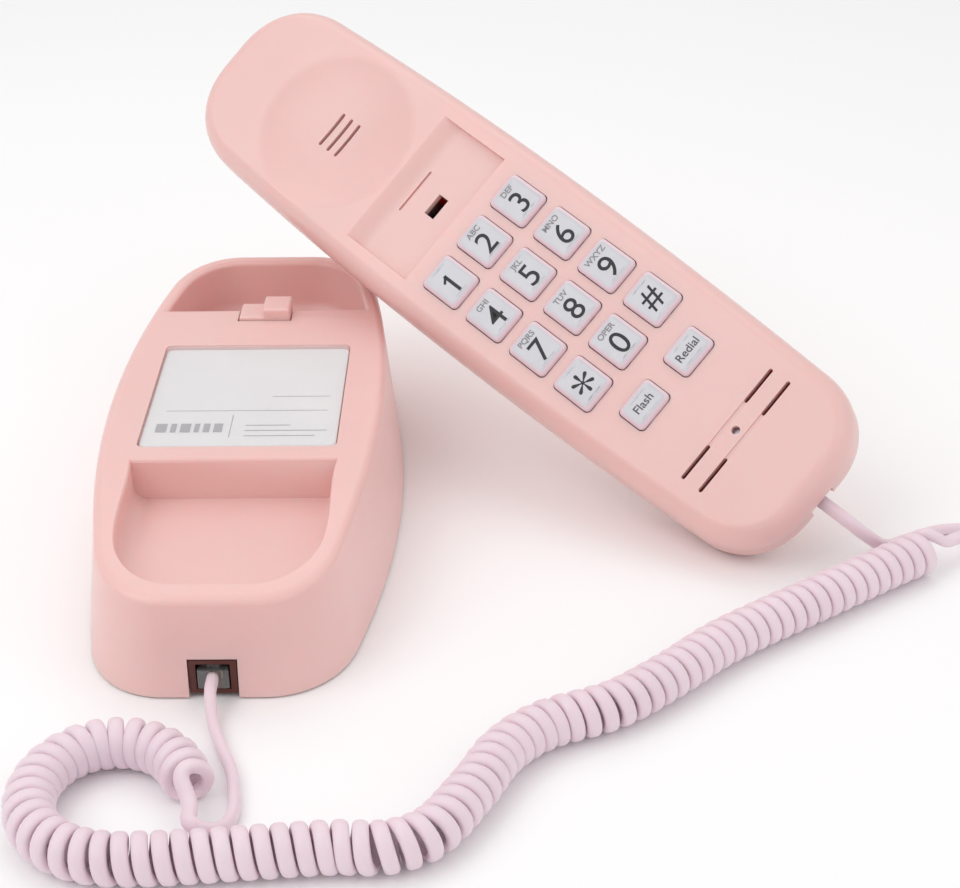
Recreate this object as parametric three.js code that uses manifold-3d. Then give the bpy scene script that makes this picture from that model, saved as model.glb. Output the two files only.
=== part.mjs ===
// A corded desk phone: a barrel-shaped base, a handset with its keypad lifted off and leaning on it,
// and the coiled cord between the two. Millimetres, +Z up, the base's front towards -Y.
import * as THREE from 'three';
import { mergeVertices } from 'three/addons/utils/BufferGeometryUtils.js';
import Module from 'manifold-3d';

const wasm = await Module();
wasm.setup();

const GAP = 0.3; // between pieces that rest on each other
const FIT = 0.4; // around pieces that slide in a hole

// Driving dimensions of the base
const BASE = {
  frontY: -92, rearY: 92.5, midHalf: 41.5, frontHalf: 34, rearHalf: 34.5, corner: 22, frontHeight: 32.5, rearHeight: 39.5,
  scoopStart: -20, scoopDrop: 5.5,
  sideDraft: 0.1, endDraft: 0.025, bottom: 0.8, wall: 2.6, edge: 2.5, floor: 22.6, floorWall: 3, pocketFillet: 4,
  frontRim: 5, rearRim: 5, platformFront: -33.5, platformRear: 52,
};
const COVER = { bottom: 1.3, top: 4.3, footRadius: 6, footTop: 2.2, boss: 3.6, screwHead: 2.8, screw: 1.3 };
const CARD = { width: 52, length: 56, recess: 2, centreY: 1, sheet: 0.5, window: 0.8, corner: 2 };
const HOOK = { width: 15, y0: 45, y1: 55, bottom: 27, low: 38.8, high: 41.2, shaftY: 50, shaft: 2.2, flange: 5 };
const JACK = { width: 11.6, depth: 13, bottom: 1.3, height: 9.4, handsetX: 0 };
const PLUG = { width: 7.6, height: 6.4, length: 11, centreZ: 6 };

// Driving dimensions of the handset: y runs to the ear end, z is 0 on the face
const HANDSET = {
  earY: 110, mouthY: -121, earHalf: 28, mouthHalf: 27.5, bow: 33, earCorner: 24, mouthCorner: 21,
  depth: 30, wall: 2.2, edgeIn: 5, edgeDown: 8, backIn: 8, backUp: 12, parting: -9, endThinning: 0.62,
  earCentre: 62.5, dishRadius: 24.5, dishDepth: 4.5, recessY0: 12, recessY1: 38.5, recessHalf: 22.5, recessDepth: 2.2, rampY: 29.6,
  jackIn: 7, jackZ: -12.6,
};
const PAD = { pitchX: 15, pitchY: 17, width: 11.2, length: 13.1, rise: 1.6, functionY: -68.8 };
const FUNCTION_KEY = { width: 12.4, length: 8.9, x: 9.4 };
const POSE = { x: 65.2, y: 38.7, z: 64.6, yaw: 49.3, pitch: 19.1, roll: -44.2 };

// The coiled cord
const CORD = { lead: 3.4, coil: 12 };

const PINK = { color: 0xebc4bc, roughness: 0.42 };
const PINK_DEEP = { color: 0xe6a99f, roughness: 0.5 };
const CORD_PINK = { color: 0xe0cad2, roughness: 0.45 };
const KEY_GREY = { color: 0xc9cad0, roughness: 0.35 };
const CARD_WHITE = { color: 0xe3e3e3, roughness: 0.6 };
const CLEAR = { color: 0xf4f6f8, roughness: 0.08 };
const RUBBER = { color: 0x3a3a3c, roughness: 0.85 };
const DARK = { color: 0x4a2018, roughness: 0.5 };
const BOARD = { color: 0x2f6a44, roughness: 0.55 };
const STEEL = { color: 0xb9bcc0, roughness: 0.3, metalness: 1 };
const CLEAR_PLUG = { color: 0xdfe4e8, roughness: 0.15 };

const rad = THREE.MathUtils.degToRad;
const root = new THREE.Group();
const base = new THREE.Group();
const handset = new THREE.Group();
const cord = new THREE.Group();
root.add(base, handset, cord);

// A closed geometry as a manifold, with its triangles facing out
function solid(geometry) {
  const plain = geometry.clone();
  plain.deleteAttribute('normal');
  plain.deleteAttribute('uv');
  const merged = mergeVertices(plain, 1e-4);
  const index = Array.from(merged.index.array);
  const kept = [];
  for (let i = 0; i < index.length; i += 3) {
    const [a, b, c] = index.slice(i, i + 3);
    if (a !== b && b !== c && a !== c) kept.push(a, b, c);
  }
  const vertProperties = new Float32Array(merged.attributes.position.array);
  const made = (triVerts) => new wasm.Manifold(new wasm.Mesh({ numProp: 3, vertProperties, triVerts }));
  const body = made(new Uint32Array(kept));
  return body.volume() > 0 ? body : made(new Uint32Array(kept.reverse()));
}

function addPiece(group, name, body, look) {
  const result = body.getMesh();
  const geometry = new THREE.BufferGeometry();
  geometry.setAttribute('position', new THREE.BufferAttribute(result.vertProperties, 3));
  geometry.setIndex(new THREE.BufferAttribute(result.triVerts, 1));
  geometry.computeVertexNormals();
  const mesh = new THREE.Mesh(geometry, new THREE.MeshStandardMaterial(look));
  mesh.name = name;
  group.add(mesh);
  return mesh;
}

function box(x0, x1, y0, y1, z0, z1) {
  const geometry = new THREE.BoxGeometry(x1 - x0, y1 - y0, z1 - z0);
  return solid(geometry.translate((x0 + x1) / 2, (y0 + y1) / 2, (z0 + z1) / 2));
}

function post(x, y, radius, z0, z1, sides = 16) {
  const geometry = new THREE.CylinderGeometry(radius, radius, z1 - z0, sides);
  return solid(geometry.rotateX(Math.PI / 2).translate(x, y, (z0 + z1) / 2));
}

// A turned solid about a line along Z; the profile holds [radius, z] pairs
function turned(profile, sides = 24) {
  const points = profile.map(([r, z]) => new THREE.Vector2(r, z));
  return new THREE.LatheGeometry(points, sides).rotateX(Math.PI / 2);
}

// An outline drawn up from z0 to z1, with both ends' edges rounded over a height and a width
function prism(shape, z0, z1, edge = 0, curveSegments = 5, bevelSegments = 3, edgeIn = edge) {
  const settings = {
    depth: z1 - z0 - 2 * edge, curveSegments, bevelEnabled: edge > 0, bevelSegments,
    bevelThickness: edge, bevelSize: edgeIn, bevelOffset: -edgeIn,
  };
  return new THREE.ExtrudeGeometry(shape, settings).translate(0, 0, z0 + edge);
}

function roundedRect(width, length, corner) {
  const x = width / 2;
  const y = length / 2;
  const shape = new THREE.Shape();
  shape.moveTo(-x + corner, -y);
  shape.absarc(x - corner, -y + corner, corner, -Math.PI / 2, 0);
  shape.absarc(x - corner, y - corner, corner, 0, Math.PI / 2);
  shape.absarc(-x + corner, y - corner, corner, Math.PI / 2, Math.PI);
  shape.absarc(-x + corner, -y + corner, corner, Math.PI, 1.5 * Math.PI);
  return shape;
}

// The base's plan: round corners and sides that bow out to the middle, moved in by an inset
function basePlan(inset) {
  const front = BASE.frontY + inset;
  const rear = BASE.rearY - inset;
  const near = BASE.frontHalf - inset;
  const far = BASE.rearHalf - inset;
  const bow = 2 * (BASE.midHalf - inset) - (near + far) / 2;
  const corner = BASE.corner - inset * 0.6;
  const round = 0.45 * corner;
  const shape = new THREE.Shape();
  shape.moveTo(-near + corner, front);
  shape.lineTo(near - corner, front);
  shape.bezierCurveTo(near - round, front, near - 2, front + round, near, front + corner);
  shape.quadraticCurveTo(bow, 0, far, rear - corner);
  shape.bezierCurveTo(far - 2, rear - round, far - round, rear, far - corner, rear);
  shape.lineTo(-far + corner, rear);
  shape.bezierCurveTo(-far + round, rear, -far + 2, rear - round, -far, rear - corner);
  shape.quadraticCurveTo(-bow, 0, -near, front + corner);
  shape.bezierCurveTo(-near + 2, front + round, -near + round, front, -near + corner, front);
  return shape;
}

// ---- Base ----
const slope = (BASE.rearHeight - BASE.frontHeight) / (BASE.rearY - BASE.frontY);
const topAt = (y) => {
  const scooped = Math.max(0, (BASE.scoopStart - y) / (BASE.scoopStart - BASE.frontY));
  return BASE.frontHeight + slope * (y - BASE.frontY) - BASE.scoopDrop * scooped ** 2;
};

// The base's plan at a height, leaned in as the draft needs and lowered to the base's top
function draftedRing(inset, height) {
  const points = basePlan(inset).getPoints(8);
  points.push(points.shift());
  points.pop();
  const share = height / BASE.rearHeight;
  return points.map(({ x, y }) => (
    [x * (1 - BASE.sideDraft * share), y * (1 - BASE.endDraft * share), share * topAt(y)]
  ));
}

// A solid of rings that mirror about x = 0, with bars across both its ends
function stacked(rings) {
  const around = rings[0].length;
  const triVerts = [];
  const quad = (a, b, c, d) => {
    triVerts.push(a, b, c);
    if (a !== d && c !== d) triVerts.push(a, c, d);
  };
  for (let i = 0; i + 1 < rings.length; i += 1) {
    for (let j = 0; j < around; j += 1) {
      const k = (j + 1) % around;
      quad(i * around + j, i * around + k, (i + 1) * around + k, (i + 1) * around + j);
    }
  }
  const last = (rings.length - 1) * around;
  for (let j = 0; j < around / 2 - 1; j += 1) {
    quad(around - 1 - j, around - 2 - j, j + 1, j);
    quad(last + j, last + j + 1, last + around - 2 - j, last + around - 1 - j);
  }
  const vertProperties = new Float32Array(rings.flat(2));
  return new wasm.Manifold(new wasm.Mesh({ numProp: 3, vertProperties, triVerts: new Uint32Array(triVerts) }));
}

// Turns a geometry modelled on z = 0 to lie on the base's sloping top, centred at y
function onTop(geometry, y) {
  return geometry.rotateX(Math.atan(slope)).translate(0, y, topAt(y));
}

const screwPlaces = [[-28, -50], [28, -50], [-28, 50], [28, 50]];
const footPlaces = [[-23, -70], [23, -70], [-21, 74], [21, 74]];
const ceiling = BASE.floor - BASE.floorWall;

function jackHole(x, side) {
  const half = JACK.width / 2 + GAP;
  const wall = side < 0 ? BASE.frontY : BASE.rearY;
  const inside = wall - side * (JACK.depth + 1.2);
  const outside = wall + side * 5;
  const top = JACK.bottom + JACK.height + GAP;
  return box(x - half, x + half, Math.min(inside, outside), Math.max(inside, outside), -5, top);
}

// The hollow inside a rim of one width, with a round edge to its floor
function pocket(rim) {
  const inset = rim + 3;
  return solid(prism(basePlan(inset), BASE.floor, 70, BASE.pocketFillet));
}

function baseShell() {
  const rings = [draftedRing(0, -9)];
  for (const turn of [0, 0.25, 0.5, 0.75, 1].map((share) => (share * Math.PI) / 2)) {
    rings.push(draftedRing(BASE.edge * (1 - Math.cos(turn)), BASE.rearHeight - BASE.edge * (1 - Math.sin(turn))));
  }
  let body = stacked(rings).subtract(box(-99, 99, -199, 199, -99, BASE.bottom));
  const inside = stacked([draftedRing(BASE.wall, -9), draftedRing(BASE.wall, BASE.rearHeight)]);
  body = body.subtract(inside.intersect(box(-99, 99, -199, 199, -20, ceiling)));
  body = body.subtract(box(-25, 25, BASE.platformFront + 3, 41, ceiling - 1, 27.5));
  for (const [x, y] of screwPlaces) {
    body = body.add(post(x, y, COVER.boss, COVER.top + GAP, ceiling + 1));
    body = body.subtract(post(x, y, COVER.screw + GAP, 0, 14));
  }
  const frontPocket = pocket(BASE.frontRim);
  const rearPocket = pocket(BASE.rearRim);
  body = body.subtract(frontPocket.intersect(box(-99, 99, -199, BASE.platformFront, 0, 99)));
  body = body.subtract(rearPocket.intersect(box(-99, 99, BASE.platformRear, 199, 0, 99)));
  const recess = prism(roundedRect(CARD.width + 1, CARD.length + 1, CARD.corner), -CARD.recess, 5);
  body = body.subtract(solid(onTop(recess, CARD.centreY)));
  const slot = HOOK.width / 2 + FIT;
  body = body.subtract(box(-slot, slot, HOOK.y0 - FIT, HOOK.y1, BASE.floor, 60));
  body = body.subtract(post(0, HOOK.shaftY, HOOK.shaft + FIT, ceiling - 1, BASE.floor + 1));
  return body.subtract(jackHole(JACK.handsetX, -1)).subtract(jackHole(0, 1));
}

function baseCover() {
  let body = solid(prism(basePlan(BASE.wall + FIT + 0.5), COVER.bottom, COVER.top));
  body = body.subtract(jackHole(JACK.handsetX, -1)).subtract(jackHole(0, 1));
  for (const side of [-1, 1]) body = body.add(box(side * 18 - 1, side * 18 + 1, 18, 58, COVER.top - 1, 7.7));
  for (const [x, y] of screwPlaces) {
    body = body.subtract(post(x, y, COVER.screwHead + FIT, 0, 3.2)).subtract(post(x, y, COVER.screw + FIT, 0, 9));
  }
  for (const [x, y] of footPlaces) {
    body = body.subtract(post(x, y, COVER.footRadius + GAP, 0, COVER.footTop + GAP));
  }
  return body;
}

function screw(headRadius, headBottom, headTop, shaftRadius, tip) {
  const profile = [[0, headBottom], [headRadius, headBottom], [headRadius, headTop],
    [shaftRadius, headTop], [shaftRadius, tip], [0, tip]];
  return solid(turned(profile, 12));
}

// A square socket that opens along -Y at y = 0, with its plug space inside
function socket() {
  const half = JACK.width / 2;
  const hole = { x: PLUG.width / 2 + FIT, z: PLUG.height / 2 + FIT };
  const body = box(-half, half, 0, JACK.depth, JACK.bottom, JACK.bottom + JACK.height);
  return body.subtract(box(-hole.x, hole.x, -1, PLUG.length + 1, PLUG.centreZ - hole.z, PLUG.centreZ + hole.z));
}

// A modular plug from y = 0 to its length, with its latch on top
function plug() {
  const half = PLUG.width / 2;
  const body = box(-half, half, 0, PLUG.length, PLUG.centreZ - PLUG.height / 2, PLUG.centreZ + 2);
  return body.add(box(-1.6, 1.6, 1.5, PLUG.length - 1, PLUG.centreZ + 1, PLUG.centreZ + PLUG.height / 2));
}

function hookPlunger() {
  const half = HOOK.width / 2;
  const low = box(-half, 1, HOOK.y0, HOOK.y1, HOOK.bottom, HOOK.low);
  const high = solid(prism(roundedRect(half + 0.5, HOOK.y1 - HOOK.y0, 1), HOOK.bottom, HOOK.high, 0.6))
    .translate([(half - 0.5) / 2 + 0.25, (HOOK.y0 + HOOK.y1) / 2, 0]);
  const shaft = post(0, HOOK.shaftY, HOOK.shaft, 14, HOOK.bottom + 2);
  return low.add(high).add(shaft).add(post(0, HOOK.shaftY, HOOK.flange, 18, 19.3));
}

addPiece(base, 'base_shell', baseShell(), PINK);
addPiece(base, 'base_cover', baseCover(), PINK_DEEP);
footPlaces.forEach(([x, y], i) => {
  const profile = [[0, 0], [COVER.footRadius - 0.5, 0], [COVER.footRadius, 0.5], [COVER.footRadius, COVER.footTop],
    [0, COVER.footTop]];
  const mesh = addPiece(base, `rubber_foot_${i + 1}`, solid(turned(profile, 20)), RUBBER);
  mesh.position.set(x, y, 0);
});
screwPlaces.forEach(([x, y], i) => {
  const mesh = addPiece(base, `base_screw_${i + 1}`, screw(COVER.screwHead, 1.7, 2.9, COVER.screw, 13), STEEL);
  mesh.position.set(x, y, 0);
});

const cardShape = roundedRect(CARD.width, CARD.length, CARD.corner);
const cardBottom = -CARD.recess + GAP;
const cardTop = cardBottom + CARD.sheet;
const windowBottom = cardTop + GAP;
const card = onTop(prism(cardShape, cardBottom, cardTop), CARD.centreY);
const windowPane = onTop(prism(cardShape, windowBottom, windowBottom + CARD.window), CARD.centreY);
addPiece(base, 'number_card', solid(card), CARD_WHITE);
addPiece(base, 'card_window', solid(windowPane), CLEAR);

addPiece(base, 'base_circuit_board', box(-23, 23, 16, 60, 8, 9.6), BOARD);
addPiece(base, 'ringer', solid(turned([[0, 4.7], [13, 4.7], [13, 11], [10, 13], [0, 13]], 24)), DARK)
  .position.set(0, -12, 0);
addPiece(base, 'ballast_weight', box(-21, 21, -72, -32, 4.7, 10.7), STEEL);
addPiece(base, 'hook_switch_body', box(6.5, 14.5, 45, 55, 9.9, 15.9), DARK);
addPiece(base, 'hook_plunger', hookPlunger(), PINK);
addPiece(base, 'hook_spring', solid(turned([[3, 9.9], [4.4, 9.9], [4.4, 17.7], [3, 17.7], [3, 9.9]], 16)), STEEL)
  .position.set(0, HOOK.shaftY, 0);

const frontSocket = addPiece(base, 'base_handset_jack', socket(), DARK);
frontSocket.position.set(JACK.handsetX, BASE.frontY + 0.9, 0);
const lineSocket = addPiece(base, 'wall_line_jack', socket(), DARK);
lineSocket.rotation.z = Math.PI;
lineSocket.position.set(0, BASE.rearY - 0.9, 0);
const basePlug = addPiece(cord, 'base_plug', plug(), CLEAR_PLUG);
basePlug.position.set(JACK.handsetX, BASE.frontY + 0.6, 0);

// ---- Handset ----
// The handset's plan, moved in by an inset
function handsetPlan(inset) {
  const ear = { y: HANDSET.earY - inset, x: HANDSET.earHalf - inset, r: HANDSET.earCorner - inset };
  const mouth = { y: HANDSET.mouthY + inset, x: HANDSET.mouthHalf - inset, r: HANDSET.mouthCorner - inset };
  const shape = new THREE.Shape();
  const k = 0.4;
  shape.moveTo(-mouth.x + mouth.r, mouth.y);
  shape.lineTo(mouth.x - mouth.r, mouth.y);
  shape.bezierCurveTo(mouth.x - k * mouth.r, mouth.y, mouth.x, mouth.y + k * mouth.r, mouth.x, mouth.y + mouth.r);
  shape.quadraticCurveTo(HANDSET.bow - inset, 0, ear.x, ear.y - ear.r);
  shape.bezierCurveTo(ear.x, ear.y - k * ear.r, ear.x - k * ear.r, ear.y, ear.x - ear.r, ear.y);
  shape.lineTo(-ear.x + ear.r, ear.y);
  shape.bezierCurveTo(-ear.x + k * ear.r, ear.y, -ear.x, ear.y - k * ear.r, -ear.x, ear.y - ear.r);
  shape.quadraticCurveTo(inset - HANDSET.bow, 0, -mouth.x, mouth.y + mouth.r);
  shape.bezierCurveTo(-mouth.x, mouth.y + k * mouth.r, -mouth.x + k * mouth.r, mouth.y, -mouth.x + mouth.r, mouth.y);
  return shape;
}

// Makes the back shallower towards both ends
function thinned(geometry) {
  const place = geometry.attributes.position;
  const middle = (HANDSET.earY + HANDSET.mouthY) / 2;
  const half = (HANDSET.earY - HANDSET.mouthY) / 2;
  for (let i = 0; i < place.count; i += 1) {
    const z = place.getZ(i);
    const share = 1 - HANDSET.endThinning * ((place.getY(i) - middle) / half) ** 4;
    if (z < HANDSET.parting) place.setZ(i, HANDSET.parting + (z - HANDSET.parting) * share);
  }
  return geometry;
}

// The face's dish in front of the receiver, as a spherical cap that opens upwards
function dish(radius, depth) {
  const sphere = (radius ** 2 + depth ** 2) / (2 * depth);
  const steps = 5;
  const profile = [];
  for (let i = 0; i <= steps; i += 1) {
    const r = (radius * i) / steps;
    profile.push([r, sphere - depth - Math.sqrt(sphere ** 2 - r ** 2)]);
  }
  profile.push([radius, 5], [0, 5]);
  return solid(turned(profile, 36));
}

const rows = [['1', '2', '3'], ['4', '5', '6'], ['7', '8', '9'], ['star', '0', 'hash']];
const keys = rows.flatMap((row, i) => row.map((label, j) => (
  { label, x: (j - 1) * PAD.pitchX, y: -i * PAD.pitchY, width: PAD.width, length: PAD.length }
)));
keys.push({ ...FUNCTION_KEY, label: 'flash', x: -FUNCTION_KEY.x, y: PAD.functionY });
keys.push({ ...FUNCTION_KEY, label: 'redial', y: PAD.functionY });

const faceInner = -HANDSET.wall;
const boardTop = -8.2;
const boardBottom = -9.8;
const screwYs = [31, -84];

function slotCut(x, y, length, width, z0, z1) {
  return solid(prism(roundedRect(length, width, width / 2 - 0.01), z0, z1, 0, 3)).translate([x, y, 0]);
}

// The recess between the ear dish and the keypad: a flat floor, and a slow ramp up towards the ear
function recessCut() {
  const { recessY0: low, recessY1: high, recessHalf: half, recessDepth: depth, rampY: ramp } = HANDSET;
  const side = new THREE.Shape();
  side.moveTo(low, 5);
  side.lineTo(low, -depth);
  side.lineTo(ramp, -depth);
  side.bezierCurveTo(ramp + 3, -depth, high - 3, 0, high, 0.3);
  side.lineTo(high, 5);
  const geometry = new THREE.ExtrudeGeometry(side, { depth: 2 * half, bevelEnabled: false, curveSegments: 6 });
  return solid(geometry.rotateY(Math.PI / 2).rotateX(Math.PI / 2).translate(-half, 0, 0));
}

function handsetFront() {
  const h = HANDSET;
  const outer = solid(prism(handsetPlan(0), -h.depth, 0, h.edgeDown, 5, 4, h.edgeIn));
  let body = outer.subtract(box(-99, 99, -199, 199, -99, h.parting));
  let hollow = solid(prism(handsetPlan(h.wall), -h.depth, faceInner, h.edgeDown - 1.5, 5, 4, h.edgeIn - 1));
  hollow = hollow.subtract(post(0, h.earCentre, h.dishRadius + 1, -h.dishDepth - h.wall, 1, 32));
  hollow = hollow.subtract(box(-99, 99, h.recessY0 - 2, h.recessY1 + 3, -h.recessDepth - h.wall, 1));
  for (const y of screwYs) hollow = hollow.subtract(post(0, y, 3.6, h.parting - 1, 1));
  body = body.subtract(hollow);
  body = body.subtract(dish(h.dishRadius, h.dishDepth).translate([0, h.earCentre, 0]));
  body = body.subtract(recessCut());
  body = body.subtract(box(-3.5, 3.5, 18.8, 22.4, -20, 5));
  body = body.subtract(slotCut(0, 29.3, 14.5, 1, -h.recessDepth - 0.8, 5));
  for (const y of [59.2, 62.5, 65.8]) body = body.subtract(slotCut(0, y, 11, 1.5, -20, 5));
  for (const x of [-13.2, 13.2]) {
    for (const y of [-90.2, -96.2]) body = body.subtract(slotCut(x, y, 11.5, 1.5, -5, 5));
  }
  body = body.subtract(post(0, -93.2, 1.2, -5, 5, 12));
  for (const y of screwYs) body = body.subtract(post(0, y, 1.6, -20, h.parting + 4));
  for (const key of keys) {
    const hole = prism(roundedRect(key.width + 2 * FIT, key.length + 2 * FIT, 1.6), -5, 5, 0, 3);
    body = body.subtract(solid(hole).translate([key.x, key.y, 0]));
  }
  return body;
}

// The way in for the handset's plug, through the back's end wall
function plugWay() {
  const half = PLUG.width / 2 + FIT;
  const up = PLUG.height / 2 + FIT;
  const { mouthY, jackIn, jackZ } = HANDSET;
  return box(-half, half, mouthY - 5, mouthY + jackIn, jackZ - up, jackZ + up);
}

function handsetBack() {
  const h = HANDSET;
  const outer = solid(thinned(prism(handsetPlan(0), -h.depth, h.depth, h.backUp, 5, 4, h.backIn)));
  const inner = thinned(prism(handsetPlan(h.wall), -h.depth + h.wall, h.depth, h.backUp - 1, 5, 4, h.backIn - 1));
  let hollow = solid(inner);
  for (const y of screwYs) hollow = hollow.subtract(post(0, y, 4.2, -40, h.parting - GAP));
  let body = outer.subtract(hollow).subtract(box(-99, 99, -199, 199, h.parting - GAP, 99));
  for (const y of screwYs) body = body.subtract(post(0, y, 3.1, -40, -16)).subtract(post(0, y, 1.7, -40, 0));
  return body.subtract(plugWay());
}

function keyBody(key) {
  const cap = solid(prism(roundedRect(key.width, key.length, 1.3), -2.2, PAD.rise, 0.7, 3, 2));
  const flange = box(-key.width / 2 - 0.9, key.width / 2 + 0.9, -key.length / 2 - 0.9, key.length / 2 + 0.9, -3.5, -2.6);
  const stem = post(0, 0, 2, -4.7, -2, 8);
  const neck = box(-key.width / 2 + 1, key.width / 2 - 1, -key.length / 2 + 1, key.length / 2 - 1, -3, -1);
  return cap.add(flange).add(neck).add(stem);
}

addPiece(handset, 'handset_front', handsetFront(), PINK);
addPiece(handset, 'handset_back', handsetBack(), PINK);
addPiece(handset, 'keypad_membrane', box(-23, 23, -77, 9, -6.9, -6.2), RUBBER);
const boardBody = box(-22, 22, -78, 22, boardBottom, boardTop);
addPiece(handset, 'handset_circuit_board', boardBody, BOARD);
addPiece(handset, 'receiver', solid(turned([[0, -16], [12, -16], [17, -12], [17, -7.6], [0, -7.6]], 28)), DARK)
  .position.set(0, HANDSET.earCentre, 0);
addPiece(handset, 'microphone', post(0, -95.6, 4.8, -7, -2.6, 16), STEEL);
addPiece(handset, 'handset_weight', box(-14, 14, -74, -30, -19, -13.5), STEEL);
screwYs.forEach((y, i) => {
  const mesh = addPiece(handset, `handset_screw_${i + 1}`, screw(2.7, -20.5, -16.4, 1.3, -5.8), STEEL);
  mesh.position.set(0, y, 0);
});
for (const key of keys) {
  addPiece(handset, `key_${key.label}`, keyBody(key), KEY_GREY).position.set(key.x, key.y, 0);
}
const mouthSocket = addPiece(handset, 'handset_jack', socket(), DARK);
mouthSocket.position.set(0, HANDSET.mouthY + HANDSET.jackIn, HANDSET.jackZ - PLUG.centreZ);
const handsetPlug = addPiece(handset, 'handset_plug', plug(), CLEAR_PLUG);
handsetPlug.position.set(0, HANDSET.mouthY + HANDSET.jackIn - GAP, HANDSET.jackZ - PLUG.centreZ);

handset.rotation.set(rad(POSE.pitch), rad(POSE.roll), rad(POSE.yaw), 'ZXY');
handset.position.set(POSE.x, POSE.y, POSE.z);

// ---- Cord: its route over the floor, chosen by hand ----
const leadHeight = CORD.lead / 2 + 0.1;
const coilHeight = CORD.coil / 2 + 0.1;
const jackZ = PLUG.centreZ;
const baseLeadRoute = [
  [JACK.handsetX, BASE.frontY + 0.6 - GAP, jackZ], [JACK.handsetX, -97, jackZ - 0.4], [1.3, -104, leadHeight + 0.8],
  [4.6, -113.9, leadHeight], [7.7, -121.8, leadHeight], [9.4, -129.7, leadHeight], [10.1, -137.7, leadHeight],
  [8.6, -144.2, leadHeight + 1], [4.7, -146.9, leadHeight + 2.8], [1.9, -146, coilHeight], [1.4, -141.3, coilHeight],
];
const coilRoute = [
  [1.3, -141], [-0.8, -130.6], [-7.2, -121.3], [-15.9, -117.6], [-24.9, -118.9], [-31.8, -125.4], [-34.7, -135.5],
  [-32.5, -146.2], [-25.6, -154], [-16.5, -157.7], [-5.5, -158.1], [15.5, -156.2], [34.4, -154.5], [45.4, -154.5],
  [53.9, -150.2], [63.3, -134.9], [70.3, -120.6], [79.3, -111.5], [96.1, -103.3], [110.3, -91.2], [123.8, -77.7],
  [153.7, -55.1], [174.9, -39.5], [189.2, -29.8],
].map(([x, y]) => [x, y, coilHeight]);
const handsetLeadEnd = [
  [166.4, -32.4, 9.5], [172.1, -28.6, 4.2], [179.9, -21.3, leadHeight], [189.7, -16.8, leadHeight],
  [199.3, -17.5, leadHeight + 0.6], [202.3, -22.6, 4.4], [197.6, -25.1, coilHeight], [189.4, -29.6, coilHeight],
];

function tube(route, diameter, sides, step) {
  const curve = new THREE.CatmullRomCurve3(route.map((p) => new THREE.Vector3(...p)), false, 'centripetal');
  const section = new THREE.Shape();
  for (let i = 0; i < sides; i += 1) {
    const angle = (2 * Math.PI * (i + 0.5)) / sides;
    const point = [(diameter / 2) * Math.cos(angle), (diameter / 2) * Math.sin(angle)];
    if (i === 0) section.moveTo(...point);
    else section.lineTo(...point);
  }
  const steps = Math.round(curve.getLength() / step);
  return solid(new THREE.ExtrudeGeometry(section, { steps, extrudePath: curve, bevelEnabled: false }));
}

root.updateMatrixWorld(true);
const plugMouth = new THREE.Vector3(0, HANDSET.mouthY + HANDSET.jackIn - 2 * GAP, HANDSET.jackZ);
const plugAway = new THREE.Vector3(0, HANDSET.mouthY - 7, HANDSET.jackZ);
for (const point of [plugMouth, plugAway]) point.applyMatrix4(handset.matrixWorld);
const handsetLeadRoute = [plugMouth.toArray(), plugAway.toArray(), ...handsetLeadEnd];

addPiece(cord, 'base_lead', tube(baseLeadRoute, CORD.lead, 8, CORD.lead), CORD_PINK);
addPiece(cord, 'cord_coil', tube(coilRoute, CORD.coil, 12, 8), CORD_PINK);
addPiece(cord, 'handset_lead', tube(handsetLeadRoute, CORD.lead, 8, CORD.lead), CORD_PINK);

// ---- The part's own frame: under the middle of the base and handset ----
const extent = new THREE.Box3();
for (const group of [base, handset]) {
  group.traverse((mesh) => {
    if (mesh.isMesh && mesh.name !== 'handset_plug') extent.expandByObject(mesh, true);
  });
}
root.position.set(-(extent.min.x + extent.max.x) / 2, -(extent.min.y + extent.max.y) / 2, -extent.min.z);

export default root;
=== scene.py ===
import math

import bmesh
import bpy
import numpy as np
from mathutils import Matrix, Vector


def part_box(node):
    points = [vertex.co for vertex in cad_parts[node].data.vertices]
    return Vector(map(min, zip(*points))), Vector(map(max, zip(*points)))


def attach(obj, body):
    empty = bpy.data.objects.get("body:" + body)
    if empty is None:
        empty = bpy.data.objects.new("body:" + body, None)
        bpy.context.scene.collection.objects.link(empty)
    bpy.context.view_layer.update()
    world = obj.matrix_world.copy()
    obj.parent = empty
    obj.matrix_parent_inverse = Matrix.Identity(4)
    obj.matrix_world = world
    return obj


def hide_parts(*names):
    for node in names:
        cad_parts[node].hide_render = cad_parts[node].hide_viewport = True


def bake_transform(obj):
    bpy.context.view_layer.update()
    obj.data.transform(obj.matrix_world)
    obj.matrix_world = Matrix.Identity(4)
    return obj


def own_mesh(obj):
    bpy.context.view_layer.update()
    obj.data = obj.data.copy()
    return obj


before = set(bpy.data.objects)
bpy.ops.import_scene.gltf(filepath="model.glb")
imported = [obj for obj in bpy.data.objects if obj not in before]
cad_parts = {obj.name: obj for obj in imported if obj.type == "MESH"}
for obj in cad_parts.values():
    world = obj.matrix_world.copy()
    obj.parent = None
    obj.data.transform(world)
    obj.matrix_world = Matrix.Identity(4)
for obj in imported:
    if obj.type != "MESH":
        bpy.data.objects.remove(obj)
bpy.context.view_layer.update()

# ---- Camera ----
# It looks down on the phone from in front of the base, a little above table height.
# The base's own millimetres start under its middle, so one foot's box gives that frame's place in the row.
foot_low, foot_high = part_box("rubber_foot_1")
FOOT_X, FOOT_Y = -23, -70
base_origin = (foot_low + foot_high) / 2 - Vector((FOOT_X, FOOT_Y, 0)) / 1000
base_place = Matrix.Translation((base_origin.x, base_origin.y, foot_low.z)) @ Matrix.Scale(0.001, 4)

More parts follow.
